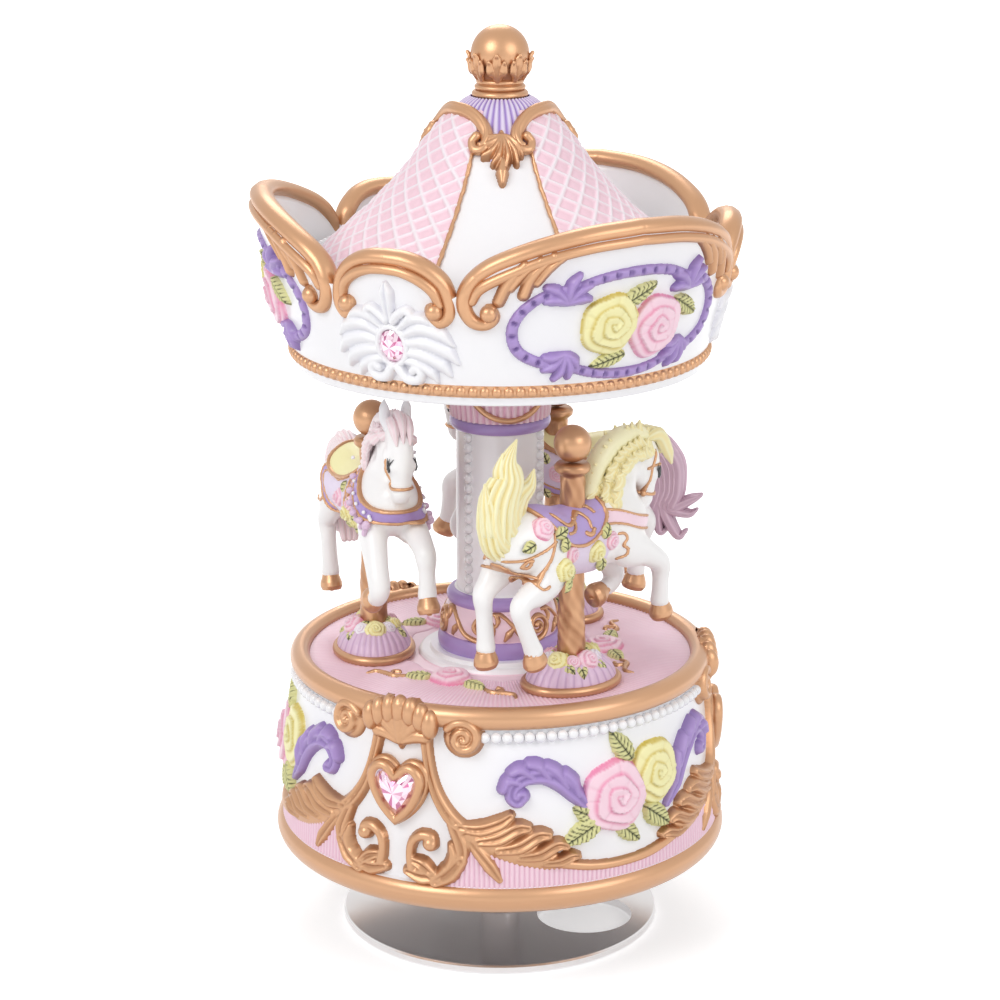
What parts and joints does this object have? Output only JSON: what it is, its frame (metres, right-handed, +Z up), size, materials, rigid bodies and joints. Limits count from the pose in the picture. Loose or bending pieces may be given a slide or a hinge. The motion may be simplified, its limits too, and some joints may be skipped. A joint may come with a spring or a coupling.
{
  "type": "wind-up carousel music box",
  "caption": "Carousel music box: a decorated drum, horses on poles and a lobed canopy that turn on a metal winding disc, with a geared comb movement inside.",
  "frame": {"origin": "centre of the turntable disc's underside, on the table", "axes": "+Z up along the winding shaft; -Y through the yellow-maned horse"},
  "size_m": [0.099, 0.099, 0.19],
  "materials": {
    "chrome": "polished",
    "steel": "satin",
    "brass": "satin",
    "zinc_casting": "as cast",
    "dark_plastic": "matte",
    "white_resin": "glossy paint on cast resin",
    "pink_resin": "satin paint on cast resin",
    "mauve_resin": "satin paint on cast resin",
    "violet_resin": "satin paint on cast resin",
    "gold_paint": "rose-gold paint",
    "pink_crystal": "faceted, foiled back"
  },
  "bodies": {
    "turntable": {"turntable_disc": "chrome", "disc_screw": "steel", "spindle_hub": "chrome", "winding_shaft": "steel", "drive_gear": "brass", "gear_clip": "steel"},
    "carousel": {"base_drum": "white_resin", "bottom_cover": "dark_plastic", "cover_screws": "steel", "deck": "pink_resin", "movement_frame": "zinc_casting", "movement_screws": "steel", "spring_barrel": "steel", "barrel_lid": "steel", "mainspring": "steel", "comb": "steel", "comb_screws": "steel", "governor_bracket": "brass", "bracket_screw": "steel", "center_column": "white_resin", "crown_ring": "white_resin", "canopy_ceiling": "white_resin", "canopy_roof": "pink_resin", "roof_collar": "violet_resin", "finial_cap": "gold_paint", "finial_cup": "gold_paint", "finial_ball": "gold_paint", "heart_gems": "pink_crystal", "oval_gems": "pink_crystal", "horse_yellow": "white_resin", "pole_yellow": "gold_paint", "stand_yellow": "mauve_resin", "horse_mauve": "white_resin", "pole_mauve": "gold_paint", "stand_mauve": "mauve_resin", "horse_pink": "white_resin", "pole_pink": "gold_paint", "stand_pink": "mauve_resin"},
    "cylinder": {"pin_cylinder": "brass", "cylinder_arbor": "steel", "drive_pinion": "brass", "cylinder_gear": "brass"},
    "second_wheel": {"worm_wheel": "brass", "wheel_pinion": "steel", "wheel_arbor": "steel"},
    "governor": {"worm_shaft": "steel", "air_brake": "brass"}
  },
  "joints": [
    {"name": "carousel_spin", "type": "hinge", "parent": "turntable", "child": "carousel", "pos_m": [0, 0, 0], "axis": [0, 0, 1], "continuous": true},
    {"name": "cylinder_spin", "type": "hinge", "parent": "carousel", "child": "cylinder", "pos_m": [0.02, 0, 0.03135], "axis": [1, 0, 0], "continuous": true},
    {"name": "second_wheel_spin", "type": "hinge", "parent": "carousel", "child": "second_wheel", "pos_m": [0.02, -0.009, 0.03135], "axis": [1, 0, 0], "continuous": true},
    {"name": "governor_spin", "type": "hinge", "parent": "carousel", "child": "governor", "pos_m": [0.0175, -0.0154, 0.03], "axis": [0, 0, 1], "continuous": true}
  ],
  "couplings": [
    {"joint": "cylinder_spin", "follows": "carousel_spin", "ratio": 3},
    {"joint": "second_wheel_spin", "follows": "carousel_spin", "ratio": -7.8},
    {"joint": "governor_spin", "follows": "carousel_spin", "ratio": -156}
  ]
}
